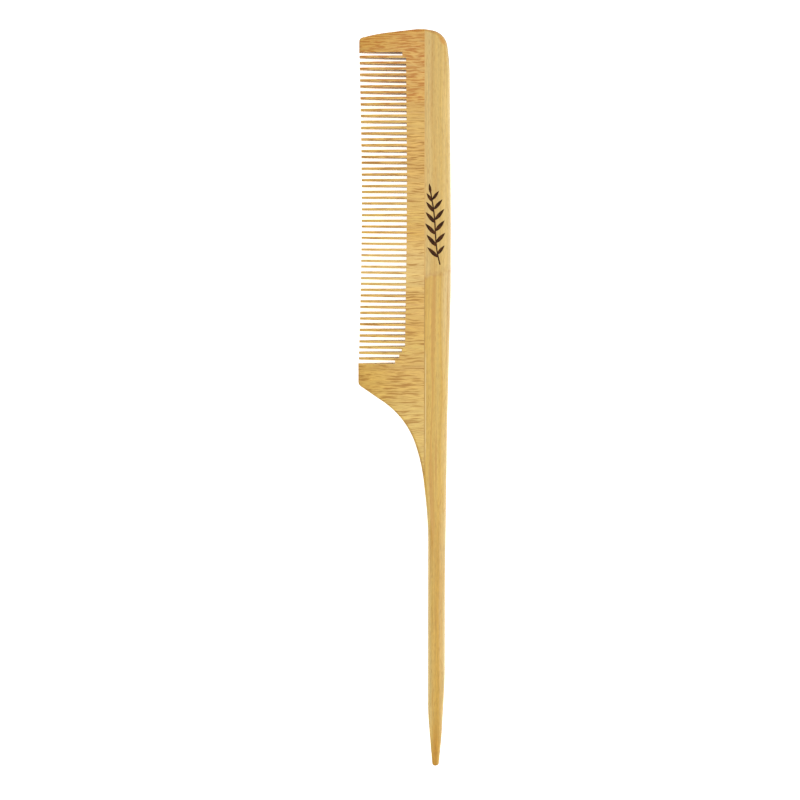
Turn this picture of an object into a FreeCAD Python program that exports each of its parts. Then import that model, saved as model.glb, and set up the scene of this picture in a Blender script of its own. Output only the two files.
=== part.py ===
import FreeCAD, Part
import os
import re

import Sketcher

# Tail comb of laminated bamboo. A board of short cross-grain slats carries the teeth; it is
# tongued and glued into one long slat that makes the spine and the tail. The board is glued up
# first, and the outline, the thickness and the gaps between the teeth are cut afterwards.
# Frame, in millimetres: X across the comb with the teeth towards -X, Y along it with the head
# towards +Y, Z through its thickness. It lies flat on Z = 0 and is centred in X and Y.

# Drops are measured down from the head end, falls down from the top of the sweep, insets in from
# the back, and reaches towards the back from the tooth side.
size_values = {
    # whole comb
    "comb_length": 230.0,
    "comb_width": 28.7,
    "stock_thickness": 6.0,
    # head end
    "guard_inset": 0.5,
    "guard_corner_drop": 2.55,
    "guard_corner_radius": 1.2,
    "shoulder_drop": 1.4,
    "shoulder_reach": 5.85,
    "crown_inset": 8.05,
    "crown_flat": 2.5,
    "crown_radius": 15.0,
    "head_corner_drop": 0.97,
    "head_corner_inset": 1.7,
    "head_corner_radius": 5.5,
    # back edge, from the head down
    "back_top_drop": 10.8,
    "back_top_inset": 0.5,
    "back_flat_drop": 58.0,
    "back_flat_length": 22.0,
    "back_waist_drop": 120.0,
    "back_waist_inset": 1.0,
    "back_end_drop": 168.0,
    "back_blend_radius": 60.0,
    # teeth
    "first_kerf_drop": 7.486,
    "tooth_pitch": 1.7724,
    "kerf_count": 54,
    "kerf_root_width": 0.98,
    "kerf_mouth_width": 1.07,
    "tooth_plate_width": 5.25,
    "root_bow_head": 0.4,
    "root_bow_heel": 0.7,
    "root_bow_radius": 1500.0,
    "first_kerf_step": 1.1,
    "corner_step_high": 1.0,
    "corner_step_middle": 1.8,
    "corner_step_low": 3.1,
    "guard_tip_step": 0.05,
    "heel_tip_step": 0.15,
    "tip_bow": 1.5,
    "tip_bow_radius": 1200.0,
    # heel and the sweep into the tail
    "heel_length": 6.78,
    "heel_radius": 1.6,
    "sweep_slope": 0.6665,
    "sweep_high_to_joint": 5.55,
    "sweep_high_radius": 26.0,
    "sweep_low_fall": 14.4,
    "sweep_low_to_joint": 0.75,
    "sweep_low_radius": 56.0,
    "tail_start_fall": 32.9,
    "tail_start_radius": 120.0,
    # tail, its lengths measured up from the tip
    "tail_step": 1.3,
    "tail_inset": 1.55,
    "tail_taper_length": 18.0,
    "tail_shoulder_length": 29.0,
    "tip_shoulder_length": 10.5,
    "tip_shoulder_step": 0.9,
    "tip_width": 2.1,
    "tip_offset": 0.18,
    "tip_radius": 0.98,
    # thickness
    "tooth_tip_thickness": 2.2,
    "taper_reach": 8.35,
    "taper_radius": 58.0,
    "tail_mid_thickness": 5.2,
    "tail_end_thickness": 2.6,
    "tail_thin_fall": 29.8,
    "tail_thin_radius": 200.0,
    # spine, its joint and the glue
    "spine_width": 8.25,
    "tongue_depth": 2.5,
    "tongue_thickness": 2.0,
    "tongue_end_fall": 11.4,
    "board_end_fall": 17.9,
    "glue_thickness": 0.1,
    # slats of the tooth board
    "slat_kerfs": 11,
    "slat_count": 8,
    # rounding of the outline's edges
    "edge_radius": 0.8,
    "back_radius": 2.2,
    "tail_radius": 1.7,
    "tip_edge_radius": 0.6,
    "tail_round_fall": 46.4,
    # how far a cutting body stands past the work
    "overshoot": 3.0,
}

doc = FreeCAD.newDocument("TailComb")
sheet = doc.addObject("Spreadsheet::Sheet", "Sizes")
for row, (name, value) in enumerate(size_values.items(), start=1):
    sheet.set("A%d" % row, name)
    sheet.set("B%d" % row, str(value))
    sheet.setAlias("B%d" % row, name)
doc.recompute()

# Sums that many sizes are measured from, in words the sheet can work out.
head_end = "comb_length / 2"
tail_end = "-comb_length / 2"
tooth_side = "-comb_width / 2"
back = "comb_width / 2"
joint = "comb_width / 2 - spine_width"
root = "comb_width / 2 - spine_width - tooth_plate_width"
first_kerf = "comb_length / 2 - first_kerf_drop"
last_kerf = "comb_length / 2 - first_kerf_drop - (kerf_count - 1) * tooth_pitch"
heel_foot = "(%s - kerf_root_width / 2 - heel_length)" % last_kerf
sweep_left = "(%s - sweep_high_to_joint)" % joint
sweep_top = "(%s - sweep_slope * (%s - (%s)))" % (heel_foot, sweep_left, tooth_side)
rest_plane = "0 * comb_width"
tail_left = "(comb_width / 2 - spine_width + tail_step)"
tail_right = "(comb_width / 2 - tail_inset)"
tip_middle = "((%s + %s) / 2 - tip_offset)" % (tail_left, tail_right)
middle = "stock_thickness / 2"

probe = doc.addObject("App::FeaturePython", "Probe")
probe.addProperty("App::PropertyFloat", "Answer")


def formula(words):
    """The words as an expression on the sheet."""
    def named(match):
        word = match.group(0)
        return "Sizes." + word if word in size_values else word
    return re.sub(r"[a-z][a-z_]+", named, words)


def number(words):
    """The words worked out with the sizes as they are now."""
    probe.setExpression("Answer", formula(words))
    probe.recompute()
    return probe.Answer


def origin_plane(body, role):
    return [feature for feature in body.Origin.OriginFeatures if feature.Role == role][0]


def bind(thing, path, words):
    thing.setExpression(path, formula(words))


def rounded_sketch(body, name, role, corners):
    """A closed sketch from control corners (x, y, radius), each bound to the sheet.
    A corner with no radius stays sharp."""
    sketch = body.newObject("Sketcher::SketchObject", name)
    sketch.AttachmentSupport = [(origin_plane(body, role), "")]
    sketch.MapMode = "FlatFace"
    points = [FreeCAD.Vector(number(x), number(y), 0) for x, y, radius in corners]
    count = len(points)
    for index in range(count):
        sketch.addGeometry(Part.LineSegment(points[index], points[(index + 1) % count]), False)
    for index in range(count):
        sketch.addConstraint(Sketcher.Constraint("Coincident", index, 1, (index - 1) % count, 2))
    for index, (x, y, radius) in enumerate(corners):
        for kind, words, value in (("DistanceX", x, points[index].x), ("DistanceY", y, points[index].y)):
            place = sketch.addConstraint(Sketcher.Constraint(kind, -1, 1, index, 1, value))
            sketch.renameConstraint(place, "%s_%d" % (kind, index))
            bind(sketch, "Constraints.%s_%d" % (kind, index), words)
    doc.recompute()
    for index, (x, y, radius) in enumerate(corners):
        if radius is None:
            continue
        arc = sketch.GeometryCount
        sketch.fillet(index, 1, number(radius), True, True, False)
        place = sketch.addConstraint(Sketcher.Constraint("Radius", arc, number(radius)))
        sketch.renameConstraint(place, "Radius_%d" % index)
        bind(sketch, "Constraints.Radius_%d" % index, radius)
    return sketch


def add_pad(body, name, role, corners, length, side="Symmetric"):
    """A rounded sketch in a body, padded by the length given in words."""
    pad = body.newObject("PartDesign::Pad", name)
    pad.Profile = rounded_sketch(body, name + "_sketch", role, corners)
    pad.SideType = side
    bind(pad, "Length", length)
    body.Tip = pad
    doc.recompute()
    return pad


def padded_body(name, role, corners, length, side="Symmetric"):
    """A body made of one padded sketch."""
    body = doc.addObject("PartDesign::Body", name)
    add_pad(body, name + "_pad", role, corners, length, side)
    return body


def box(name, low, high):
    """A Part::Box between two corners, each given as three sums in words."""
    block = doc.addObject("Part::Box", name)
    for axis, side, start, end in zip("xyz", ("Length", "Width", "Height"), low, high):
        bind(block, side, "(%s) - (%s)" % (end, start))
        bind(block, "Placement.Base." + axis, start)
    return block


def boolean(kind, name, base, tool):
    """A Part boolean of two objects: Cut, Common or Fuse."""
    result = doc.addObject("Part::" + kind, name)
    result.Base = base
    result.Tool = tool
    return result


# --- the comb's outline, counterclockwise from the heel's corner ---
outline_corners = [
    (tooth_side, heel_foot, "heel_radius"),
    (sweep_left, sweep_top, "sweep_high_radius"),
    ("%s - sweep_low_to_joint" % joint, "%s - sweep_low_fall" % sweep_top, "sweep_low_radius"),
    (tail_left, "%s - tail_start_fall" % sweep_top, "tail_start_radius"),
    (tail_left, "%s + tail_taper_length" % tail_end, "back_blend_radius"),
    ("%s - tip_width / 2" % tip_middle, tail_end, "tip_radius"),
    ("%s + tip_width / 2" % tip_middle, tail_end, "tip_radius"),
    ("%s - tip_shoulder_step" % tail_right, "%s + tip_shoulder_length" % tail_end, "back_blend_radius"),
    (tail_right, "%s + tail_shoulder_length" % tail_end, "back_blend_radius"),
    (tail_right, "%s - back_end_drop" % head_end, "back_blend_radius"),
    ("%s - back_waist_inset" % back, "%s - back_waist_drop" % head_end, "back_blend_radius"),
    (back, "%s - back_flat_drop - back_flat_length" % head_end, "back_blend_radius"),
    (back, "%s - back_flat_drop" % head_end, "back_blend_radius"),
    ("%s - back_top_inset" % back, "%s - back_top_drop" % head_end, "back_blend_radius"),
    ("%s - head_corner_inset" % back, "%s - head_corner_drop" % head_end, "head_corner_radius"),
    ("%s - crown_inset" % back, head_end, "crown_radius"),
    ("%s - crown_inset - crown_flat" % back, head_end, "crown_radius"),
    ("%s + shoulder_reach" % tooth_side, "%s - shoulder_drop" % head_end, "back_blend_radius"),
    ("%s + guard_inset" % tooth_side, "%s - guard_corner_drop" % head_end, "guard_corner_radius"),
    (tooth_side, "%s + tooth_pitch" % last_kerf, None),
]
blank = padded_body("comb_blank", "XY_Plane", outline_corners, "stock_thickness", "One side")

# --- thickness: both faces curve in towards the tooth tips, and the tail thins to its tip ---
tip_low = "%s - tooth_tip_thickness / 2" % middle
tip_high = "%s + tooth_tip_thickness / 2" % middle
taper_corners = [
    ("%s + overshoot" % back, rest_plane, None),
    ("%s + taper_reach" % tooth_side, rest_plane, "taper_radius"),
    (tooth_side, tip_low, None),
    (tooth_side, tip_high, None),
    ("%s + taper_reach" % tooth_side, "stock_thickness", "taper_radius"),
    ("%s + overshoot" % back, "stock_thickness", None),
]
tooth_taper = padded_body("tooth_taper", "XZ_Plane", taper_corners, "comb_length + 2 * overshoot")

waist = "%s + tail_shoulder_length" % tail_end
thin_corners = [
    ("%s + overshoot" % head_end, rest_plane, None),
    ("%s + overshoot" % head_end, "stock_thickness", None),
    ("%s - tail_thin_fall" % sweep_top, "stock_thickness", "tail_thin_radius"),
    (waist, "%s + tail_mid_thickness / 2" % middle, "tail_thin_radius"),
    (tail_end, "%s + tail_end_thickness / 2" % middle, None),
    (tail_end, "%s - tail_end_thickness / 2" % middle, None),
    (waist, "%s - tail_mid_thickness / 2" % middle, "tail_thin_radius"),
    ("%s - tail_thin_fall" % sweep_top, rest_plane, "tail_thin_radius"),
]
tail_taper = padded_body("tail_taper", "YZ_Plane", thin_corners, "comb_width + 2 * overshoot")

tapered_teeth = boolean("Common", "tapered_teeth", blank, tooth_taper)
tapered_comb = boolean("Common", "tapered_comb", tapered_teeth, tail_taper)
doc.recompute()


# --- rounding: small on the tooth side, full along the back and the tail ---
def edge_rounding(point):
    """The rounding radius at a place on the outline, which changes gently along it."""
    tail_round = number("%s - tail_round_fall" % sweep_top)
    tail_start = number("%s - tail_start_fall" % sweep_top)
    taper_top = number("%s + tail_taper_length" % tail_end)
    crown = number("%s - crown_inset" % back)
    corner = number("%s - head_corner_inset" % back)
    tail_width = number("%s - %s" % (tail_right, tail_left))
    tail_rounding = min(number("tail_radius"), 0.32 * tail_width)
    if point.y < taper_top:
        share = (taper_top - point.y) / number("tail_taper_length")
        return tail_rounding + share * (number("tip_edge_radius") - tail_rounding)
    if point.y < tail_round:
        return tail_rounding
    if point.x > corner:
        return number("back_radius")
    if point.y > tail_start:
        share = max(0.0, (point.x - crown) / (corner - crown))
        return number("edge_radius") + share * (number("back_radius") - number("edge_radius"))
    share = (tail_start - point.y) / (tail_start - tail_round)
    return number("edge_radius") + share * (tail_rounding - number("edge_radius"))


def is_outline_edge(shape, edge):
    """True for an edge between an upright wall and one of the two faces."""
    slopes = []
    for face in shape.ancestorsOfType(edge, Part.Face):
        normal = face.normalAt(*face.Surface.parameter(face.CenterOfMass))
        slopes.append(abs(normal.z))
    return min(slopes) < 0.01 and max(slopes) > 0.5


rounded_comb = doc.addObject("Part::Fillet", "rounded_comb")
rounded_comb.Base = tapered_comb
roundings = []
for place, edge in enumerate(tapered_comb.Shape.Edges, start=1):
    if is_outline_edge(tapered_comb.Shape, edge):
        start = edge_rounding(edge.valueAt(edge.FirstParameter))
        end = edge_rounding(edge.valueAt(edge.LastParameter))
        roundings.append((place, start, end))
rounded_comb.Edges = roundings
doc.recompute()

# --- teeth: one gap that widens to its mouth, repeated down the board and joined by a strip that
# --- trims the tips; a plate keeps what stays solid behind the gaps, and the last three gaps end
# --- shorter and shorter into the heel ---
cut_height = "2 * stock_thickness + 2 * overshoot"
guard_foot = "%s + kerf_root_width / 2" % first_kerf
heel_top = "%s - kerf_root_width / 2" % last_kerf
tip_corners = [
    ("%s - overshoot" % tooth_side, guard_foot, None),
    ("%s - overshoot" % tooth_side, heel_top, None),
    ("%s + heel_tip_step" % tooth_side, heel_top, None),
    ("%s + tip_bow" % tooth_side, "(%s + %s) / 2" % (guard_foot, heel_top), "tip_bow_radius"),
    ("%s + guard_inset + guard_tip_step" % tooth_side, guard_foot, None),
]
kerf_corners = [
    ("%s + overshoot" % root, "%s - kerf_root_width / 2" % first_kerf, None),
    ("%s + overshoot" % root, "%s + kerf_root_width / 2" % first_kerf, None),
    (tooth_side, "%s + kerf_mouth_width / 2" % first_kerf, None),
    (tooth_side, "%s - kerf_mouth_width / 2" % first_kerf, None),
]
kerf_cutter = doc.addObject("PartDesign::Body", "kerf_cutter")
add_pad(kerf_cutter, "tip_trim", "XY_Plane", tip_corners, cut_height)
one_kerf = add_pad(kerf_cutter, "one_kerf", "XY_Plane", kerf_corners, cut_height)
kerf_row = kerf_cutter.newObject("PartDesign::LinearPattern", "kerf_row")
kerf_row.Originals = [one_kerf]
kerf_row.Direction = (origin_plane(kerf_cutter, "Y_Axis"), [""])
kerf_row.Reversed = True
bind(kerf_row, "Length", "(kerf_count - 1) * tooth_pitch")
bind(kerf_row, "Occurrences", "kerf_count")
kerf_cutter.Tip = kerf_row
doc.recompute()

corner_top = "%s + 2.5 * tooth_pitch" % last_kerf
step_foot = "%s - tooth_pitch / 2" % first_kerf
corner_root = "%s - root_bow_heel" % root
plate_corners = [
    ("%s + overshoot" % joint, "%s + overshoot" % head_end, None),
    ("%s - root_bow_head - first_kerf_step" % root, "%s + overshoot" % head_end, None),
    ("%s - root_bow_head - first_kerf_step" % root, step_foot, None),
    ("%s - root_bow_head" % root, step_foot, None),
    (root, "(%s + %s) / 2" % (step_foot, corner_top), "root_bow_radius"),
    (corner_root, corner_top, None),
    ("%s - corner_step_high" % corner_root, corner_top, None),
    ("%s - corner_step_high" % corner_root, "%s - tooth_pitch" % corner_top, None),
    ("%s - corner_step_middle" % corner_root, "%s - tooth_pitch" % corner_top, None),
    ("%s - corner_step_middle" % corner_root, "%s - 2 * tooth_pitch" % corner_top, None),
    ("%s - corner_step_low" % corner_root, "%s - 2 * tooth_pitch" % corner_top, None),
    ("%s - corner_step_low" % corner_root, "%s - overshoot" % heel_top, None),
    ("%s + overshoot" % joint, "%s - overshoot" % heel_top, None),
]
tooth_plate = padded_body("tooth_plate", "XY_Plane", plate_corners, "4 * stock_thickness + 2 * overshoot")
kerf_field = boolean("Cut", "kerf_field", kerf_cutter, tooth_plate)
comb = boolean("Cut", "comb", rounded_comb, kerf_field)
doc.recompute()

# --- the joints that the comb was glued up with, as blanks that share out the finished shape ---
far_low = ("%s - overshoot" % tooth_side, "%s - overshoot" % tail_end, "-overshoot")
far_high = ("%s + overshoot" % back, "%s + overshoot" % head_end, "stock_thickness + overshoot")
shoulder = "%s - glue_thickness / 2" % joint
tongue_end = "%s - tongue_end_fall" % sweep_top
board_end = "%s - board_end_fall" % sweep_top
board_body = box("board_body", (far_low[0], board_end, far_low[2]), (shoulder, far_high[1], far_high[2]))
tongue = box("tongue", (far_low[0], tongue_end, "%s - tongue_thickness / 2" % middle),
             ("%s + tongue_depth" % joint, far_high[1], "%s + tongue_thickness / 2" % middle))
board = boolean("Fuse", "board", board_body, tongue)

groove_half = "(tongue_thickness / 2 + glue_thickness)"
groove = box("groove", (shoulder, "%s - glue_thickness" % tongue_end, "%s - %s" % (middle, groove_half)),
             ("%s + tongue_depth + glue_thickness" % joint, far_high[1], "%s + %s" % (middle, groove_half)))
spine_face = "%s + glue_thickness / 2" % joint
film_end = "%s - glue_thickness" % board_end
seam = box("seam", (shoulder, film_end, far_low[2]), (spine_face, far_high[1], far_high[2]))
end_film = box("end_film", (far_low[0], film_end, far_low[2]), (spine_face, board_end, far_high[2]))
seam_and_groove = boolean("Fuse", "seam_and_groove", seam, groove)
whole_seam = boolean("Fuse", "whole_seam", seam_and_groove, end_film)
spine_glue_blank = boolean("Cut", "spine_glue_blank", whole_seam, board)
spine_stock = box("spine_stock", (spine_face, far_low[1], far_low[2]), far_high)
tail_stock = box("tail_stock", far_low, (spine_face, film_end, far_high[2]))
long_stock = boolean("Fuse", "long_stock", spine_stock, tail_stock)
spine_blank = boolean("Cut", "spine_blank", long_stock, groove)


def slat_edge(place):
    """The joint below slat number place, counted from the head."""
    return "(%s + tooth_pitch - %d * slat_kerfs * tooth_pitch)" % (first_kerf, place - 1)


sub_parts = []


def sub_part(name, blank_piece):
    """The part of the finished comb that lies in one blank."""
    piece = boolean("Common", name, comb, blank_piece)
    piece.Label = name
    piece.Placement = FreeCAD.Placement()
    sub_parts.append(piece)


sub_part("spine_handle", spine_blank)
sub_part("spine_glue_line", spine_glue_blank)
slat_count = int(number("slat_count"))
for place in range(1, slat_count + 1):
    high = far_high[1] if place == 1 else "%s - glue_thickness / 2" % slat_edge(place - 1)
    low = far_low[1] if place == slat_count else "%s + glue_thickness / 2" % slat_edge(place)
    slab = box("slab_%d" % place, (far_low[0], low, far_low[2]), (far_high[0], high, far_high[2]))
    sub_part("tooth_slat_%d" % place, boolean("Common", "slat_blank_%d" % place, board, slab))
for place in range(1, slat_count):
    low = "%s - glue_thickness / 2" % slat_edge(place)
    high = "%s + glue_thickness / 2" % slat_edge(place)
    film = box("film_%d" % place, (far_low[0], low, far_low[2]), (far_high[0], high, far_high[2]))
    sub_part("slat_glue_line_%d" % place, boolean("Common", "glue_blank_%d" % place, board, film))
doc.removeObject(probe.Name)
doc.recompute()

# --- checks, then one file for each sub-part ---
for thing in doc.Objects:
    if "Invalid" in thing.State or "Error" in thing.State:
        raise ValueError("%s did not compute: %s" % (thing.Name, thing.State))
kerf_volume = rounded_comb.Shape.Volume - comb.Shape.Volume
print("wood before and after the gaps: %.1f, %.1f mm3" % (rounded_comb.Shape.Volume, comb.Shape.Volume))
if kerf_volume <= 0:
    raise ValueError("the gaps cut nothing")
total = 0.0
for piece in sub_parts:
    shape = piece.Shape
    if shape.isNull() or not shape.isValid():
        raise ValueError("%s has no sound shape" % piece.Label)
    total += shape.Volume
    bounds = shape.BoundBox
    print("%-20s solids %d, %8.2f mm3, x %.2f to %.2f, y %.2f to %.2f, z %.2f to %.2f" % (
        piece.Label, len(shape.Solids), shape.Volume, bounds.XMin, bounds.XMax,
        bounds.YMin, bounds.YMax, bounds.ZMin, bounds.ZMax))
print("pieces %.2f mm3 of %.2f mm3" % (total, comb.Shape.Volume))
if abs(total - comb.Shape.Volume) > 0.01 * comb.Shape.Volume:
    raise ValueError("the pieces do not make up the comb")

os.makedirs("parts", exist_ok=True)
for piece in sub_parts:
    piece.Shape.exportStep("parts/%s.step" % piece.Label)
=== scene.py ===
import math
import random

import bmesh
import bpy
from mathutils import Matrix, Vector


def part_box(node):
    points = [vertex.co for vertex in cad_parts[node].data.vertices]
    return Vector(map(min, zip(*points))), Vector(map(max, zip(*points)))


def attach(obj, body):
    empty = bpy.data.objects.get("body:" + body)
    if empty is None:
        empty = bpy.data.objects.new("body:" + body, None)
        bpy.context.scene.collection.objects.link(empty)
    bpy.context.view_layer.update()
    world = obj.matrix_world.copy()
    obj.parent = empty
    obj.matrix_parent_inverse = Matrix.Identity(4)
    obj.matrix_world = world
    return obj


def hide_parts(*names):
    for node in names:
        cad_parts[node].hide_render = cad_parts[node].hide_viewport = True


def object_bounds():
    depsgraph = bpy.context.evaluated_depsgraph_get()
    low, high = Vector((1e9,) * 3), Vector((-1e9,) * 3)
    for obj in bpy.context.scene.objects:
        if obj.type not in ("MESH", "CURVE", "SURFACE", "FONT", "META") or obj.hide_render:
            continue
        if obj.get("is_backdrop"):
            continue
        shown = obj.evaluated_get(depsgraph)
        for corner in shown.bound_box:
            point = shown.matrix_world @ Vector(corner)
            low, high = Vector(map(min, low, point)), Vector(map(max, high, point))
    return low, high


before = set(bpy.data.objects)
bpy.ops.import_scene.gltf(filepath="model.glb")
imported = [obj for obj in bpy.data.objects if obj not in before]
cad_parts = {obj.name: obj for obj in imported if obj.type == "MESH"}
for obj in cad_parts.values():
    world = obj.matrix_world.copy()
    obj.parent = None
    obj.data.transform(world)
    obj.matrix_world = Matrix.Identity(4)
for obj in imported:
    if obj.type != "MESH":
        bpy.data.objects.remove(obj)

# Tail comb of laminated bamboo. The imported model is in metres: X across the comb with the teeth
# towards -X, Y along it with the head towards +Y, and it lies flat on Z = 0.
cadLow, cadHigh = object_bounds()
mm = 0.001
random.seed(54)

topZ = cadHigh.z / mm
slatNames = sorted(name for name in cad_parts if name.startswith("tooth_slat_"))
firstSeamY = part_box("slat_glue_line_1")[0].y / mm
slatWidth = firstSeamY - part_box("slat_glue_line_2")[0].y / mm
filmThickness = 0.1            # mm, of every glue film
teethPerSlat = 11              # on each whole slat
toothCount = 53
toothPitch = slatWidth / teethPerSlat
firstKerfY = firstSeamY + filmThickness / 2 - toothPitch      # one pitch below the first joint
rootX = 1.5                    # mm, just behind the deepest gap
springX = -3.2                 # mm, the teeth spring from here outwards


def deselectAll():
    if bpy.context.object and bpy.context.object.mode != "OBJECT":
        bpy.ops.object.mode_set(mode="OBJECT")
    bpy.ops.object.select_all(action="DESELECT")


def makeActive(piece):
    deselectAll()
    piece.select_set(True)
    bpy.context.view_layer.objects.active = piece


def linear(hexColour):
    # an sRGB hex colour as the linear numbers that shaders take
    parts = [int(hexColour[i:i + 2], 16) / 255 for i in (1, 3, 5)]
    return [p / 12.92 if p <= 0.04045 else ((p + 0.055) / 1.055) ** 2.4 for p in parts] + [1.0]


def newMaterial(name):
    material = bpy.data.materials.new(name)
    material.use_nodes = True
    material.node_tree.nodes.clear()
    return material, material.node_tree


def addNode(tree, kind, inputs=None, **settings):
    # adds one node; an input is a value or another node's socket
    made = tree.nodes.new(kind)
    stops = settings.pop("stops", None)
    for name, value in settings.items():
        setattr(made, name, value)
    if stops:
        while len(made.color_ramp.elements) < len(stops):
            made.color_ramp.elements.new(1.0)
        for element, (place, colour) in zip(made.color_ramp.elements, stops):
            element.position = place
            element.color = linear(colour) if isinstance(colour, str) else [colour] * 3 + [1.0]
    for name, value in (inputs or {}).items():
        if isinstance(value, bpy.types.NodeSocket):
            tree.links.new(value, made.inputs[name])
        else:
            made.inputs[name].default_value = value
    return made


def calc(tree, operation, *values):
    return addNode(tree, "ShaderNodeMath", dict(enumerate(values)), operation=operation).outputs[0]


def calcVector(tree, operation, *values):
    made = addNode(tree, "ShaderNodeVectorMath", dict(enumerate(values)), operation=operation)
    return made.outputs[0]


def spread(tree, value, start, end, most=1.0, least=0.0, soft=False):
    # least where the value is at the start, most at the end, and level beyond them
    return addNode(tree, "ShaderNodeMapRange", {
        "Value": value, "From Min": start, "From Max": end, "To Min": least, "To Max": most},
        interpolation_type="SMOOTHSTEP" if soft else "LINEAR").outputs[0]


def blend(tree, share, under, over):
    # lays one colour over another by a share from 0 to 1
    return addNode(tree, "ShaderNodeMix", {
        "Factor": share, 6: under, 7: over}, data_type="RGBA").outputs[2]


def noise(tree, place, scale, detail, roughness=0.5):
    return addNode(tree, "ShaderNodeTexNoise", {
        "Vector": place, "Scale": scale, "Detail": detail, "Roughness": roughness})


def stretched(tree, place, stretch):
    # stretch is how many marks stand in a mm along X, Y and Z
    return addNode(tree, "ShaderNodeMapping", {"Vector": place, "Scale": stretch}).outputs["Vector"]


def streaks(tree, place, stretch, detail, roughness=0.5):
    return noise(tree, stretched(tree, place, stretch), 1.0, detail, roughness).outputs["Fac"]


def colourAlong(tree, value, rows):
    # a ramp through rows of place and value
    low, high = rows[0][0], rows[-1][0]
    stops = [((place - low) / (high - low), stop) for place, stop in rows]
    fac = spread(tree, value, low, high)
    return addNode(tree, "ShaderNodeValToRGB", {"Fac": fac}, stops=stops).outputs["Color"]


def placeInMm(tree):
    # the piece's own coordinates in mm as one vector and split, and its normal split
    coords = addNode(tree, "ShaderNodeTexCoord")
    inMm = stretched(tree, coords.outputs["Object"], (1 / mm, 1 / mm, 1 / mm))
    place = addNode(tree, "ShaderNodeSeparateXYZ", {"Vector": inMm})
    normal = addNode(tree, "ShaderNodeSeparateXYZ", {"Vector": coords.outputs["Normal"]})
    return inMm, place.outputs, normal.outputs


# Bamboo, sanded and waxed: carbonised moso strips with a straw coloured ground. Brown fibre
# bundles show as dashes on the cross-laid strips and as long streaks on the spine. A thin wax
# leaves a soft satin.
bamboo = {
    "roughness": 0.46,
    "ior": 1.5,
    "waxWeight": 0.12,
    "waxRoughness": 0.34,
    "fibreDepth": 0.03 * mm,
    # painted shade on the rounded edge round the head, darker where it turns from the light
    "paintedHeadShade": "#6E4A20",
    "rimShare": 0.75,
    "rimNormal": (0.7, 0.15),               # the normal's Z where the painted shade on the head's edge starts and is full
    "rimY": (100.0, 106.0),                 # mm, where it starts and is full
}

boardLook = {
    "bundle": "#A56E18",
    "headBundle": "#B26806",
    "bundleShare": 0.8,
    "bundleStretch": (0.17, 2.1, 0.9),      # bundles per mm along X, Y and Z
    "headBundleStretch": (0.26, 2.7, 1.0),
    "bundleDetail": 1.2,
    "bundleEdge": (0.6, 0.74),              # noise values between which a bundle begins
    "densityLift": 0.15,                    # what full density adds to the noise
    "headY": (89.0, 93.0),                  # mm, the head's own bundles fade in here
    "fineBundle": "#B37E2C",
    "fineShare": 0.8,
    "fineStretch": (0.3, 4.4, 2.0),
    "fineEdge": (0.47, 0.7),
    "fineNoise": (3.0, 0.6),                # detail and roughness of the noise
    "broadStretch": (0.06, 0.9, 0.4),
    "broadEdge": (0.25, 0.75),
    "broadDetail": 4.0,
    "broadTone": (0.92, 1.18),              # how far broad streaks darken and lighten the ground
    "wanderScale": 0.16,
    "wanderDetail": 1.0,
    "wander": (0.0, 1.3, 0.0),              # mm
    "stripShift": (13.7, 0.0, 5.1),         # mm, what sets each strip's fibres apart from the last
    "cutEnd": "#94601C",
    "cutNormal": (-0.2, -0.85),
    "cutShare": 0.5,
    "pointX": (-11.6, -13.4),               # mm
    "pointShare": 0.1,
    # painted light: the pale colour given to the walls of the gaps between the teeth
    "paintedWallLight": "#E2CDA2",
    "paintedWallLightNormal": (0.45, 0.95),
    "paintedWallLightShare": 0.65,
    "paintedWallLightAbove": (0.5, 0.4),                # mm above the first gap, where the painted light on the gap walls begins
    "bundleDull": 0.14,                     # how much rougher the bundles are
    "groundByY": [       # place along the board in mm, ground colour
        (-22, "#D1AF58"), (-2, "#D3B25B"), (6, "#D3AB4E"), (13, "#D1A84D"), (18, "#D2AE51"),
        (24, "#D1A545"), (29, "#D1A951"), (33.7, "#D2A74A"), (39, "#D6B464"), (47, "#D6B262"),
        (53, "#D1A441"), (58, "#D2AC4E"), (66, "#D0A851"), (73, "#CFA348"), (80, "#D3A64B"),
        (87, "#D0A84E"), (95, "#CE9E41"), (104, "#D0A450"), (111, "#D09F42"), (116, "#CB9834"),
    ],
    "bundlesByY": [      # place along the board in mm, how densely the dark bundles stand
        (-22, 0.18), (-8, 0.22), (1, 0.35), (3, 0.75), (9, 0.7), (11.0, 0.3), (12.0, 0.7),
        (14.2, 0.3), (21.5, 0.25), (22.7, 0.75), (26.4, 0.7), (27.4, 0.25), (31.2, 0.3),
        (32, 0.8), (35.6, 0.6), (36.5, 0.15), (50.4, 0.2), (51.6, 0.8), (54.5, 0.7), (55.5, 0.25),
        (69.2, 0.4), (70.4, 0.85), (83.2, 0.6), (84, 0.3), (91.5, 0.45), (93, 0.9), (115, 0.95),
    ],
}


def bambooShader(tree, colour, roughness, height):
    bump = addNode(tree, "ShaderNodeBump", {
        "Strength": 1.0, "Distance": bamboo["fibreDepth"], "Height": height})
    shader = addNode(tree, "ShaderNodeBsdfPrincipled", {
        "Base Color": colour, "Roughness": roughness, "IOR": bamboo["ior"],
        "Coat Weight": bamboo["waxWeight"], "Coat Roughness": bamboo["waxRoughness"],
        "Normal": bump.outputs["Normal"]})
    addNode(tree, "ShaderNodeOutputMaterial", {"Surface": shader.outputs["BSDF"]})


def addPaintedHeadShade(tree, place, normal, colour):
    # painted shade: the head's rounded edge, where it turns away from the light, is painted a dull
    # brown
    turned = spread(tree, normal["Z"], *bamboo["rimNormal"], bamboo["rimShare"])
    atHead = spread(tree, place["Y"], *bamboo["rimY"])
    outward = addNode(tree, "ShaderNodeMath", {
        0: normal["X"], 1: normal["Y"]}, operation="ADD", use_clamp=True).outputs[0]
    share = calc(tree, "MULTIPLY", calc(tree, "MULTIPLY", turned, atHead), outward)
    return blend(tree, share, colour, linear(bamboo["paintedHeadShade"]))


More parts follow.
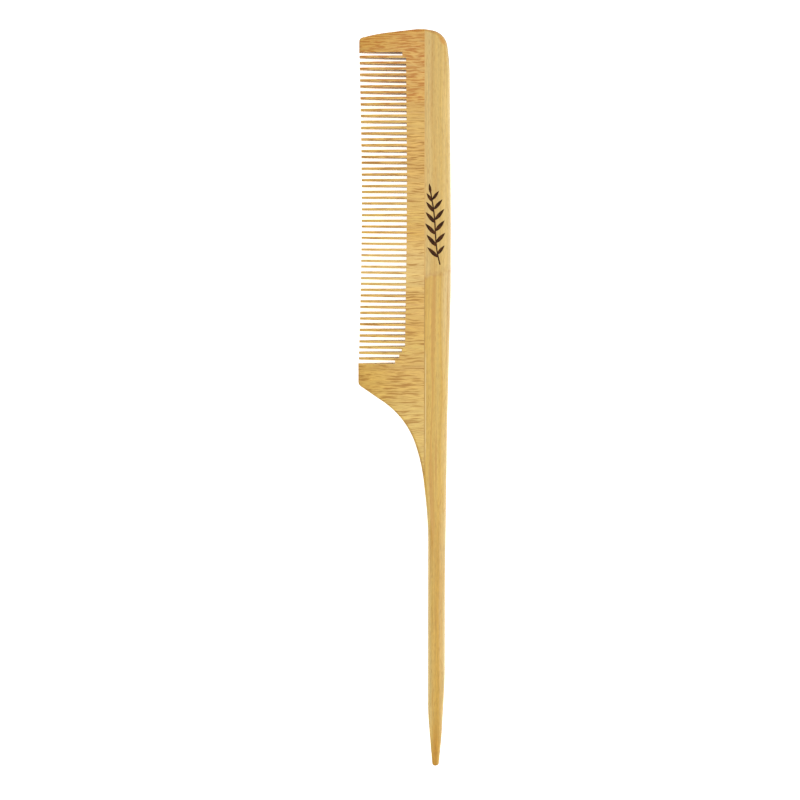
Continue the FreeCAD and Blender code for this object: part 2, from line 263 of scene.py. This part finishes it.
def makeBoardBamboo():
    # Short strips laid across the comb: the fibre runs out along the teeth, so every dash does too.
    look = boardLook
    material, tree = newMaterial("crossLaidBambooWaxed")
    inMm, place, normal = placeInMm(tree)

    # each strip gets fibres of its own
    fromSeam = calc(tree, "SUBTRACT", firstSeamY, place["Y"])
    strip = calc(tree, "FLOOR", calc(tree, "DIVIDE", fromSeam, slatWidth))
    shift = calcVector(tree, "MULTIPLY", strip, look["stripShift"])
    ownPlace = calcVector(tree, "ADD", inMm, shift)

    # fibres wander a little on their way along the strip
    wander = noise(tree, ownPlace, look["wanderScale"], look["wanderDetail"])
    wanderMm = calcVector(tree, "MULTIPLY", wander.outputs["Color"], look["wander"])
    fibrePlace = calcVector(tree, "ADD", ownPlace, wanderMm)

    # dark fibre bundles, thin streaks of 3 to 8 mm; at the head they are shorter, thicker, redder
    density = colourAlong(tree, place["Y"], look["bundlesByY"])
    inHead = spread(tree, place["Y"], *look["headY"])
    longBundle = streaks(tree, fibrePlace, look["bundleStretch"], look["bundleDetail"])
    headBundle = streaks(tree, fibrePlace, look["headBundleStretch"], look["bundleDetail"])
    bundle = addNode(tree, "ShaderNodeMix", {"Factor": inHead, 2: longBundle, 3: headBundle})
    lift = calc(tree, "MULTIPLY_ADD", density, look["densityLift"], bundle.outputs[0])
    streak = spread(tree, lift, *look["bundleEdge"], soft=True)

    # finer bundles between them
    fineBundle = streaks(tree, fibrePlace, look["fineStretch"], *look["fineNoise"])
    fine = spread(tree, fineBundle, *look["fineEdge"], look["fineShare"])

    # ground colour along the board, with broad light and dark streaks
    ground = colourAlong(tree, place["Y"], look["groundByY"])
    broadStreak = streaks(tree, fibrePlace, look["broadStretch"], look["broadDetail"])
    dark, light = look["broadTone"]
    tone = spread(tree, broadStreak, *look["broadEdge"], light, dark)
    streaked = calcVector(tree, "MULTIPLY", ground, tone)
    withFine = blend(tree, fine, streaked, linear(look["fineBundle"]))
    bundleColour = blend(tree, inHead, linear(look["bundle"]), linear(look["headBundle"]))
    streakShare = calc(tree, "MULTIPLY", streak, look["bundleShare"])
    withStreaks = blend(tree, streakShare, withFine, bundleColour)

    # the fibres' cut ends face the tooth side; they drink the wax and go brown, and the points too
    cutFace = spread(tree, normal["X"], *look["cutNormal"], look["cutShare"])
    atPoint = spread(tree, place["X"], *look["pointX"], look["pointShare"])
    cutShare = calc(tree, "MAXIMUM", cutFace, atPoint)
    withEnds = blend(tree, cutShare, withStreaks, linear(look["cutEnd"]))

    # painted light: the walls of the gaps are painted paler, standing in for light that reaches
    # them from below
    facing = calc(tree, "ABSOLUTE", normal["Y"])
    wallFace = spread(tree, facing, *look["paintedWallLightNormal"], look["paintedWallLightShare"])
    onTeeth = spread(tree, place["Y"], *[firstKerfY + above for above in look["paintedWallLightAbove"]])
    paintedWallLightShare = calc(tree, "MULTIPLY", wallFace, onTeeth)
    paintedWallLight = blend(tree, paintedWallLightShare, withEnds, linear(look["paintedWallLight"]))
    colour = addPaintedHeadShade(tree, place, normal, paintedWallLight)

    # the bundles are a touch lower and duller than the wax round them
    height = calc(tree, "SUBTRACT", fineBundle, streak)
    base = bamboo["roughness"]
    rough = spread(tree, streak, 0.0, 1.0, base + look["bundleDull"], base)
    bambooShader(tree, colour, rough, height)
    return material


spineLook = {
    "headByX": [         # place across the spine in mm, ground colour; the paler rounded edges are painted highlight
        (6.1, "#CBA556"), (7.6, "#CEAE64"), (8.6, "#C8A351"), (9.4, "#CAA451"), (10.3, "#CDAA58"),
        (11.1, "#CDA750"), (11.9, "#D3B05F"), (13.0, "#D4B36B"), (14.35, "#DBC491"),
    ],
    "middleByX": [
        (6.1, "#C59932"), (7.4, "#CCA544"), (8.6, "#CEA748"), (9.2, "#CCA342"), (10.1, "#D0AC51"),
        (10.8, "#CFA848"), (11.3, "#CBA13D"), (12.0, "#D7B362"), (13.0, "#D9BB79"),
        (14.35, "#DDC897"),
    ],
    "tailByX": [
        (7.4, "#D6BA79"), (8.3, "#D3B369"), (9.0, "#CCA54D"), (9.8, "#C89D3D"), (10.7, "#C99C38"),
        (11.2, "#D3AB5E"), (11.9, "#D5B46E"), (12.65, "#DAC087"),
    ],
    "tipByX": [
        (8.5, "#C9A34B"), (9.5, "#BE8A19"), (10.2, "#BC8619"), (11.0, "#CAA047"), (11.5, "#CEA962"),
    ],
    "tailY": (-18.0, -50.0),                # mm, where the tail's colours fade in
    "tipY": (-96.0, -111.0),
    "wanderScale": 0.03,
    "wanderDetail": 2.0,
    "wander": (1.6, 0.0, 0.0),              # mm
    "wanderBack": (-0.8, 0.0, 0.0),         # mm, brings the wander's middle back to nothing
    "nodeY": 37.8,                          # mm, where the node's line meets X = 0
    "nodeSlope": -0.277,
    "nodeSoft": 0.5,                        # mm either way in which the colours change over
    "nodeRagged": 0.9,                      # mm either way that the line strays
    "nodeRaggedScale": 1.1,
    "nodeRaggedDetail": 3.0,
    "nodeMark": "#A87334",
    "nodeMarkReach": (1.5, 0.1),            # mm from the line, from nothing to full
    "nodeMarkScale": 0.8,
    "nodeMarkDetail": 2.0,
    "nodeMarkEdge": (0.36, 0.66),
    "nodeMarkShare": 0.4,
    "longStretch": (3.6, 0.05, 1.9),        # streaks per mm along X, Y and Z
    "longNoise": (5.0, 0.62),               # detail and roughness of the noise
    "longEdge": (0.3, 0.7),
    "longTone": (0.84, 1.12),
    "mottleStretch": (2.6, 0.6, 2.0),
    "mottleNoise": (3.0, 0.65),
    "mottleEdge": (0.3, 0.7),
    "mottleTone": (0.9, 1.1),
    "band": "#BC8428",
    "bandStretch": (1.0, 0.02, 0.7),
    "bandDetail": 2.0,
    "bandEdge": (0.5, 0.68),
    "bandShare": (0.25, 0.6),               # above the node and below it
    # painted highlight: the pale line beside the joint
    "paintedHighlightLine": "#E6D198",
    "paleX": 6.5,                           # mm
    "paleHalf": (0.26, 0.08),               # mm from its middle, from nothing to full
    "paleY": (18.0, 14.0),
    "paleShare": 0.45,
    "fleck": "#B07C36",
    "fleckStretch": (3.2, 0.42, 1.8),
    "fleckEdge": (0.5, 0.15),
    "fleckChance": (0.55, 0.2),
    "fleckShare": 0.4,
    "stain": "#C4812B",
    "stainPlace": (11.4, 111.5, 6.0),       # mm, inside the round of the head's corner
    "stainTurn": math.radians(-52),
    "stainReach": (2.3, 0.95, 9.0),         # mm along, across and through
    "stainEdge": (1.0, 0.25),
    "stainShare": 0.6,
    "endGrain": "#AF6F22",
    "endNormal": (0.15, 0.8),
    "endShare": 0.75,
    "roughBy": (-0.06, 0.1),                # how the long streaks change the roughness
}


def makeSpineBamboo():
    # One long strip seen on its edge: the fibre runs the length of the comb in fine streaks, with
    # one node where the culm's joint was planed through.
    look = spineLook
    material, tree = newMaterial("longStripBambooWaxed")
    inMm, place, normal = placeInMm(tree)

    # the streaks wander sideways on their way along the strip
    wander = noise(tree, inMm, look["wanderScale"], look["wanderDetail"])
    wanderMm = calcVector(tree, "MULTIPLY", wander.outputs["Color"], look["wander"])
    grain = calcVector(tree, "ADD", calcVector(tree, "ADD", inMm, wanderMm), look["wanderBack"])
    grainX = addNode(tree, "ShaderNodeSeparateXYZ", {"Vector": grain}).outputs["X"]

    # the culm's node crosses the strip on a slight slant
    slant = calc(tree, "MULTIPLY", place["X"], look["nodeSlope"])
    fromNode = calc(tree, "SUBTRACT", calc(tree, "ADD", place["Y"], slant), look["nodeY"])
    ragged = noise(tree, inMm, look["nodeRaggedScale"], look["nodeRaggedDetail"]).outputs["Fac"]
    raggedMm = spread(tree, ragged, 0.0, 1.0, look["nodeRagged"], -look["nodeRagged"])
    nodeLine = calc(tree, "ADD", fromNode, raggedMm)

    # colours across the strip at the head, in the middle, along the tail and at its tip: the
    # strip's own tone, with a painted highlight where the rows grow paler towards the rounded edges
    head = colourAlong(tree, grainX, look["headByX"])
    middle = colourAlong(tree, grainX, look["middleByX"])
    tail = colourAlong(tree, grainX, look["tailByX"])
    tip = colourAlong(tree, grainX, look["tipByX"])
    toMiddle = spread(tree, nodeLine, look["nodeSoft"], -look["nodeSoft"], soft=True)
    toTail = spread(tree, place["Y"], *look["tailY"], soft=True)
    toTip = spread(tree, place["Y"], *look["tipY"], soft=True)
    upper = blend(tree, toMiddle, head, middle)
    ground = blend(tree, toTip, blend(tree, toTail, upper, tail), tip)

    # long fine streaks, 0.2 to 0.5 mm wide and tens of millimetres long, over a shorter mottle
    longStreak = streaks(tree, grain, look["longStretch"], *look["longNoise"])
    mottle = streaks(tree, grain, look["mottleStretch"], *look["mottleNoise"])
    dark, light = look["longTone"]
    longTone = spread(tree, longStreak, *look["longEdge"], light, dark)
    dark, light = look["mottleTone"]
    mottleTone = spread(tree, mottle, *look["mottleEdge"], light, dark)
    tone = calc(tree, "MULTIPLY", longTone, mottleTone)
    streaked = calcVector(tree, "MULTIPLY", ground, tone)

    # broader bands where softer wood took more colour, strongest below the node
    bandNoise = streaks(tree, grain, look["bandStretch"], look["bandDetail"])
    above, below = look["bandShare"]
    bandMost = spread(tree, toMiddle, 0.0, 1.0, below, above)
    band = spread(tree, bandNoise, *look["bandEdge"], bandMost, soft=True)
    banded = blend(tree, band, streaked, linear(look["band"]))

    # painted highlight: a pale line beside the joint in the middle of the comb, where the edge of
    # the spine's face catches the light
    fromPale = calc(tree, "ABSOLUTE", calc(tree, "SUBTRACT", place["X"], look["paleX"]))
    paleAcross = spread(tree, fromPale, *look["paleHalf"], soft=True)
    paleAlong = spread(tree, calc(tree, "ABSOLUTE", place["Y"]), *look["paleY"], look["paleShare"])
    paleShare = calc(tree, "MULTIPLY", paleAcross, paleAlong)
    lined = blend(tree, paleShare, banded, linear(look["paintedHighlightLine"]))

    # short brown flecks of fibre scattered along the strip
    cells = addNode(tree, "ShaderNodeTexVoronoi", {
        "Vector": stretched(tree, grain, look["fleckStretch"]), "Scale": 1.0})
    dash = spread(tree, cells.outputs["Distance"], *look["fleckEdge"], soft=True)
    chance = addNode(tree, "ShaderNodeSeparateColor", {"Color": cells.outputs["Color"]})
    shown = spread(tree, chance.outputs["Red"], *look["fleckChance"])
    fleck = calc(tree, "MULTIPLY", dash, shown)
    fleckShare = calc(tree, "MULTIPLY", fleck, look["fleckShare"])
    flecked = blend(tree, fleckShare, lined, linear(look["fleck"]))

    # blotches along the node's line
    inBand = spread(tree, calc(tree, "ABSOLUTE", nodeLine), *look["nodeMarkReach"], soft=True)
    blotch = noise(tree, inMm, look["nodeMarkScale"], look["nodeMarkDetail"]).outputs["Fac"]
    blotchShare = spread(tree, blotch, *look["nodeMarkEdge"], look["nodeMarkShare"])
    mark = calc(tree, "MULTIPLY", inBand, blotchShare)
    marked = blend(tree, mark, flecked, linear(look["nodeMark"]))

    # an orange stain follows the round of the head's corner
    inStain = addNode(tree, "ShaderNodeMapping", {
        "Vector": inMm, "Location": look["stainPlace"],
        "Rotation": (0.0, 0.0, look["stainTurn"]),
        "Scale": look["stainReach"]}, vector_type="TEXTURE")
    fromStain = addNode(tree, "ShaderNodeVectorMath", {
        0: inStain.outputs["Vector"]}, operation="LENGTH").outputs["Value"]
    stainShare = spread(tree, fromStain, *look["stainEdge"], look["stainShare"], soft=True)
    stained = blend(tree, stainShare, marked, linear(look["stain"]))

    # cut ends of the fibres drink the wax and go dark where the surface turns to the head or tip
    facing = calc(tree, "ABSOLUTE", normal["Y"])
    endShare = spread(tree, facing, *look["endNormal"], look["endShare"])
    withEnds = blend(tree, endShare, stained, linear(look["endGrain"]))
    colour = addPaintedHeadShade(tree, place, normal, withEnds)

    # the flecks are a touch lower than the wax round them
    height = calc(tree, "SUBTRACT", longStreak, fleck)
    base = bamboo["roughness"]
    finer, coarser = look["roughBy"]
    rough = spread(tree, longStreak, 0.0, 1.0, base + coarser, base + finer)
    bambooShader(tree, colour, rough, height)
    return material


glueLook = {
    "amber": "#8C5F24",
    "pale": "#C99B50",
    "amberTopY": 39.5,         # mm, above this the long joint closed tight and its film is clear
    "allClearY": -100.0,       # mm, below the whole board, so a film clear from here has no amber
    "fade": 1.0,               # mm either way in which amber turns clear
    "dustScale": 900.0,        # specks per m
    "dustDetail": 2.0,
    "dustTone": (0.8, 1.3),
    "roughness": 0.4,
    "ior": 1.48,
}


def makeGlue(name, clearY):
    # Cured wood glue: a thin, slightly glossy line with sanding dust in it, brown where the film is
    # thick and nearly wood coloured where the joint closed tight.
    look = glueLook
    material, tree = newMaterial(name)
    place = placeInMm(tree)[1]
    clear = spread(tree, place["Y"], clearY - look["fade"], clearY + look["fade"])
    colour = blend(tree, clear, linear(look["amber"]), linear(look["pale"]))
    coords = addNode(tree, "ShaderNodeTexCoord")
    dust = noise(
        tree, coords.outputs["Object"], look["dustScale"], look["dustDetail"]).outputs["Fac"]
    dark, light = look["dustTone"]
    tone = spread(tree, dust, 0.0, 1.0, light, dark)
    dusty = calcVector(tree, "MULTIPLY", colour, tone)
    shader = addNode(tree, "ShaderNodeBsdfPrincipled", {
        "Base Color": dusty, "Roughness": look["roughness"], "IOR": look["ior"]})
    addNode(tree, "ShaderNodeOutputMaterial", {"Surface": shader.outputs["BSDF"]})
    return material


boardBamboo = makeBoardBamboo()
spineBamboo = makeSpineBamboo()
spineGlue = makeGlue("woodGlueAmber", glueLook["amberTopY"])
slatGlue = makeGlue("woodGlueClear", glueLook["allClearY"])
print("materials made")

# The sawn parts, with their edges sanded and each tooth sprung a little.
sanding = {
    "weld": 0.002 * mm,
    "flat": 0.2,               # degrees, flatter edges than this are merged away first
    "arris": 0.12 * mm,        # rounding left on the teeth by the buffing wheel
    "segments": 2,
    "point": 0.22 * mm,        # rounding of the teeth's points, seen from above
    "pointSegments": 3,
    "pointX": -12.4,           # mm, the points all lie beyond this
    "pointTurn": 1.0,          # radians, the corners of a point turn by more than this
    "sharpest": 25.0,          # degrees, edges that turn by more than this are rounded
    "upright": 0.9,            # share of an edge's length that runs along Z if it counts as upright
    "onJoint": 0.01,           # mm, edges this close to a glued joint stay sharp
    "smoothSlat": 30,          # degrees, sharper turns than this stay creased
    "smoothSpine": 40,
    "leanByY": [(14, 0.05), (38, 0.15), (54, 0.13), (60, 0.0), (92, 0.02), (97, 0.11), (107, 0.1)],
    "wobble": 0.05,            # mm either way that any one tooth strays
}


def sandedCopy(name, node, material):
    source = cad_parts[node]
    piece = bpy.data.objects.new(name, source.data.copy())
    bpy.context.scene.collection.objects.link(piece)
    makeActive(piece)
    bpy.ops.mesh.customdata_custom_splitnormals_clear()
    bpy.ops.object.mode_set(mode="EDIT")
    bpy.ops.mesh.select_all(action="SELECT")
    bpy.ops.mesh.remove_doubles(threshold=sanding["weld"])
    bpy.ops.mesh.dissolve_limited(angle_limit=math.radians(sanding["flat"]))
    bpy.ops.object.mode_set(mode="OBJECT")
    piece.data.materials.clear()
    piece.data.materials.append(material)
    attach(piece, "root")
    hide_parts(node)
    return piece


def betweenGuards(y):
    # whether this height along the comb, in mm, lies in the row of teeth
    return 0 <= math.floor((firstKerfY - y) / toothPitch) < toothCount


def leanOf(y):
    # how far the point of the tooth at this height stands towards the head, in mm
    rows = sanding["leanByY"]
    for (lowY, low), (highY, high) in zip(rows, rows[1:]):
        if lowY <= y <= highY:
            return low + (high - low) * (y - lowY) / (highY - lowY)
    return rows[0][1] if y < rows[0][0] else rows[-1][1]


def leanTeeth(piece):
    # turns each tooth a little about its root, as thin sawn bamboo springs
    makeActive(piece)
    bpy.ops.object.mode_set(mode="EDIT")
    bpy.ops.mesh.select_mode(type="VERT")
    for number in range(toothCount):
        middleY = firstKerfY - (number + 0.5) * toothPitch
        bpy.ops.mesh.select_all(action="DESELECT")
        mesh = bmesh.from_edit_mesh(piece.data)
        found = 0
        for vert in mesh.verts:
            onTooth = abs(vert.co.y / mm - middleY) < toothPitch / 2 and vert.co.x / mm < springX
            vert.select_set(onTooth)
            found += onTooth
        bmesh.update_edit_mesh(piece.data)
        if not found:
            continue
        mesh.select_flush_mode()
        away = leanOf(middleY) + random.uniform(-sanding["wobble"], sanding["wobble"])
        bpy.ops.transform.rotate(value=math.atan2(away, springX - cadLow.x / mm), orient_axis="Z",
                                 center_override=(springX * mm, middleY * mm, 0.0))
    bpy.ops.object.mode_set(mode="OBJECT")


def roundTeeth(piece, lowY, highY):
    # rounds the points, then the sawn edges on the tooth side, but not along the glued joints
    makeActive(piece)
    bpy.ops.object.mode_set(mode="EDIT")
    bpy.ops.mesh.select_mode(type="EDGE")
    bpy.ops.mesh.select_all(action="DESELECT")
    mesh = bmesh.from_edit_mesh(piece.data)
    for edge in mesh.edges:
        first, last = edge.verts[0].co / mm, edge.verts[1].co / mm
        upright = abs(last.z - first.z) > sanding["upright"] * (last - first).length
        atPoint = max(first.x, last.x) < sanding["pointX"]
        if upright and atPoint and betweenGuards(first.y) and edge.is_convex:
            edge.select_set(edge.calc_face_angle(0.0) > sanding["pointTurn"])
    bmesh.update_edit_mesh(piece.data)
    bpy.ops.mesh.bevel(offset=sanding["point"], segments=sanding["pointSegments"],
                       clamp_overlap=True)
    bpy.ops.mesh.select_all(action="DESELECT")
    mesh = bmesh.from_edit_mesh(piece.data)
    for edge in mesh.edges:
        if len(edge.link_faces) != 2 or not edge.is_convex:
            continue
        middle = (edge.verts[0].co + edge.verts[1].co) / 2 / mm
        toJoint = min(abs(middle.y - lowY), abs(middle.y - highY))
        onJoint = middle.x > rootX or toJoint < sanding["onJoint"]
        turn = math.degrees(edge.calc_face_angle(0.0))
        if turn > sanding["sharpest"] and not onJoint:
            edge.select_set(True)
    bmesh.update_edit_mesh(piece.data)
    bpy.ops.mesh.bevel(offset=sanding["arris"], segments=sanding["segments"], profile=0.5,
                       clamp_overlap=True)
    bpy.ops.object.mode_set(mode="OBJECT")


def smooth(piece, angle):
    makeActive(piece)
    bpy.ops.object.shade_smooth_by_angle(angle=math.radians(angle))
    piece.modifiers.new("evenNormals", "WEIGHTED_NORMAL").keep_sharp = True
    bpy.ops.object.modifier_apply(modifier="evenNormals")


for name in slatNames:
    number = name.split("_")[-1]
    low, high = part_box(name)
    slat = sandedCopy("toothSlat" + number, name, boardBamboo)
    roundTeeth(slat, low.y / mm, high.y / mm)
    leanTeeth(slat)
    smooth(slat, sanding["smoothSlat"])
print("tooth slats made")

spine = sandedCopy("spineAndTail", "spine_handle", spineBamboo)
smooth(spine, sanding["smoothSpine"])
print("spine made")

for name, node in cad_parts.items():
    if "glue_line" in name:
        node.data.materials.clear()
        node.data.materials.append(spineGlue if name.startswith("spine") else slatGlue)

# A plain bamboo twig burnt into the spine.
sprig = {
    "stem": [(10.9, 43.6), (10.0, 47.0), (9.5, 52.0), (9.3, 57.0), (8.7, 62.0), (7.9, 66.2)],
    "stemWidth": 0.42,
    "leaves": [       # foot x, foot y, length, turn from straight up in degrees, widest
        (10.25, 45.8, 4.6, 46, 1.2), (10.05, 46.7, 3.6, -38, 1.05), (9.75, 49.2, 4.7, 40, 1.25),
        (9.6, 50.2, 4.3, -42, 1.2), (9.5, 52.8, 4.7, 43, 1.25), (9.45, 53.8, 4.4, -40, 1.25),
        (9.4, 56.3, 4.5, 41, 1.2), (9.3, 57.2, 4.5, -40, 1.2), (9.1, 59.6, 4.1, 38, 1.1),
        (8.95, 60.4, 4.2, -40, 1.1), (8.6, 62.7, 3.4, 34, 0.95), (8.45, 63.3, 3.6, -36, 0.95),
        (8.0, 65.3, 3.2, 8, 0.85),
    ],
    "stemFlat": 0.16,          # the stem's height over its width
    "proud": 0.015,            # mm above the face, so the burn shows everywhere
    "depth": 0.12,             # mm
    "leafRows": 8,
    "leafBelly": 0.8,          # below 1 the widest place moves towards the foot
    "leafBlunt": 0.9,          # below 1 the ends are fuller
    "leafClosed": 0.001,       # share of the width left at foot and point before they are welded
    "leafWeld": 0.005 * mm,
    "colour": "#2C1506",
    "scorch": "#5C330C",
    "roughness": 0.8,
    "specular": 0.2,
    "charScale": 1400.0,       # specks per m
    "charDetail": 3.0,
    "charEdge": (0.4, 0.75),
    "charDepth": 0.02 * mm,
}


def makeBurn():
    # Bamboo charred by a branding tip: near black in the middle, brown and dry where it cooled.
    material, tree = newMaterial("charredBamboo")
    coords = addNode(tree, "ShaderNodeTexCoord")
    char = noise(
        tree, coords.outputs["Object"], sprig["charScale"], sprig["charDetail"]).outputs["Fac"]
    share = spread(tree, char, *sprig["charEdge"])
    colour = blend(tree, share, linear(sprig["colour"]), linear(sprig["scorch"]))
    bump = addNode(tree, "ShaderNodeBump", {"Distance": sprig["charDepth"], "Height": char})
    shader = addNode(tree, "ShaderNodeBsdfPrincipled", {
        "Base Color": colour, "Roughness": sprig["roughness"],
        "Specular IOR Level": sprig["specular"], "Normal": bump.outputs["Normal"]})
    addNode(tree, "ShaderNodeOutputMaterial", {"Surface": shader.outputs["BSDF"]})
    return material


def makeLeaf():
    # one slender leaf, 1 mm long along Y and 1 mm wide, its foot at the origin
    rows = sprig["leafRows"]
    deselectAll()
    bpy.ops.mesh.primitive_grid_add(x_subdivisions=2, y_subdivisions=rows, size=mm,
                                    location=(0, 0, 0))
    leaf = bpy.context.object
    leaf.name = "leaf"
    bpy.ops.object.mode_set(mode="EDIT")
    bpy.ops.mesh.select_all(action="SELECT")
    bpy.ops.transform.translate(value=(0, 0.5 * mm, 0))
    for row in range(rows + 1):
        along = row / rows
        belly = math.sin(math.pi * along ** sprig["leafBelly"])
        width = belly ** sprig["leafBlunt"] if 0 < row < rows else sprig["leafClosed"]
        bpy.ops.mesh.select_all(action="DESELECT")
        mesh = bmesh.from_edit_mesh(leaf.data)
        for vert in mesh.verts:
            vert.select_set(abs(vert.co.y / mm - along) < 0.5 / rows)
        bmesh.update_edit_mesh(leaf.data)
        bpy.ops.transform.resize(value=(width, 1, 1))
    bpy.ops.mesh.select_all(action="SELECT")
    bpy.ops.mesh.remove_doubles(threshold=sprig["leafWeld"])
    thickness = (0, 0, -sprig["depth"] * mm)
    bpy.ops.mesh.extrude_region_move(TRANSFORM_OT_translate={"value": thickness})
    bpy.ops.mesh.select_all(action="SELECT")
    bpy.ops.mesh.normals_make_consistent(inside=False)
    bpy.ops.object.mode_set(mode="OBJECT")
    return leaf


def makeSprig():
    leaf = makeLeaf()
    parts = []
    for x, y, length, turn, widest in sprig["leaves"]:
        copy = bpy.data.objects.new("leafCopy", leaf.data.copy())
        bpy.context.scene.collection.objects.link(copy)
        copy.scale = (widest, length, 1.0)
        copy.rotation_euler = (0, 0, math.radians(turn))
        copy.location = (x * mm, y * mm, (topZ + sprig["proud"]) * mm)
        parts.append(copy)
    bpy.data.objects.remove(leaf)
    line = bpy.data.curves.new("stem", "CURVE")
    line.dimensions = "3D"
    spline = line.splines.new("NURBS")
    spline.points.add(len(sprig["stem"]) - 1)
    for point, (x, y) in zip(spline.points, sprig["stem"]):
        point.co = (x * mm, y * mm, 0.0, 1.0)
    spline.order_u = 3
    spline.use_endpoint_u = True
    line.bevel_depth = sprig["stemWidth"] / 2 * mm
    line.bevel_resolution = 2
    line.use_fill_caps = True
    stem = bpy.data.objects.new("burntSprig", line)
    bpy.context.scene.collection.objects.link(stem)
    makeActive(stem)
    bpy.ops.object.convert(target="MESH")
    stem.location = (0, 0, topZ * mm)
    stem.scale = (1, 1, sprig["stemFlat"])
    for part in parts:
        part.select_set(True)
    bpy.ops.object.join()
    bpy.ops.object.transform_apply(location=True, rotation=True, scale=True)
    piece = bpy.context.object
    piece.data.materials.clear()
    piece.data.materials.append(makeBurn())
    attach(piece, "root")


makeSprig()
print("sprig made")

# Floor, light and camera. Sizes and places are in metres, the camera's in mm.
studio = {
    "floorSize": 9.0,
    "floorColour": "#F4F4F2",
    "floorRoughness": 0.6,
    "floorGlow": 0.85,         # lit from below, so the gaps between the teeth stay bright
    "white": (1.0, 1.0, 1.0, 1.0),
    "skyStrength": 0.5,
    "keyPower": 6.7,
    "keySize": 0.9,
    "keyPlace": (0.25, 0.05, 0.9),
    "lens": 76.5,
    "sensor": 36.0,
    "aim": (-1.394, 1.542, 3.0),
    "distance": 529.4,
    "tilt": 5.41,              # degrees that the camera leans towards the head
    "nearest": 0.01,           # m, the camera sees from here on
}


def makeStudio():
    deselectAll()
    bpy.ops.mesh.primitive_plane_add(size=studio["floorSize"], location=(0, 0, 0))
    floor = bpy.context.object
    floor.name = "lightTable"
    material, tree = newMaterial("opalAcrylicLit")
    shader = addNode(tree, "ShaderNodeBsdfPrincipled", {
        "Base Color": linear(studio["floorColour"]), "Roughness": studio["floorRoughness"],
        "Emission Color": studio["white"], "Emission Strength": studio["floorGlow"]})
    addNode(tree, "ShaderNodeOutputMaterial", {"Surface": shader.outputs["BSDF"]})
    floor.data.materials.append(material)
    floor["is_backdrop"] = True

    world = bpy.data.worlds.new("softRoom")
    world.use_nodes = True
    sky = world.node_tree.nodes["Background"]
    sky.inputs["Color"].default_value = studio["white"]
    sky.inputs["Strength"].default_value = studio["skyStrength"]
    bpy.context.scene.world = world

    key = bpy.data.lights.new("softbox", "AREA")
    key.energy = studio["keyPower"]
    key.shape = "SQUARE"
    key.size = studio["keySize"]
    lamp = bpy.data.objects.new("softbox", key)
    lamp.location = studio["keyPlace"]
    lamp.rotation_euler = (-lamp.location).to_track_quat("-Z", "Y").to_euler()
    bpy.context.scene.collection.objects.link(lamp)

    lean = math.radians(studio["tilt"])
    camera = bpy.data.cameras.new("camera")
    camera.lens = studio["lens"]
    camera.sensor_width = studio["sensor"]
    camera.clip_start = studio["nearest"]
    eye = bpy.data.objects.new("camera", camera)
    aimX, aimY, aimZ = studio["aim"]
    eye.location = (aimX * mm, (aimY + studio["distance"] * math.sin(lean)) * mm,
                    (aimZ + studio["distance"] * math.cos(lean)) * mm)
    eye.rotation_euler = (-lean, 0, 0)
    bpy.context.scene.collection.objects.link(eye)
    bpy.context.scene.camera = eye
    bpy.context.scene.view_settings.view_transform = "Standard"


makeStudio()
print("studio made")

low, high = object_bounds()
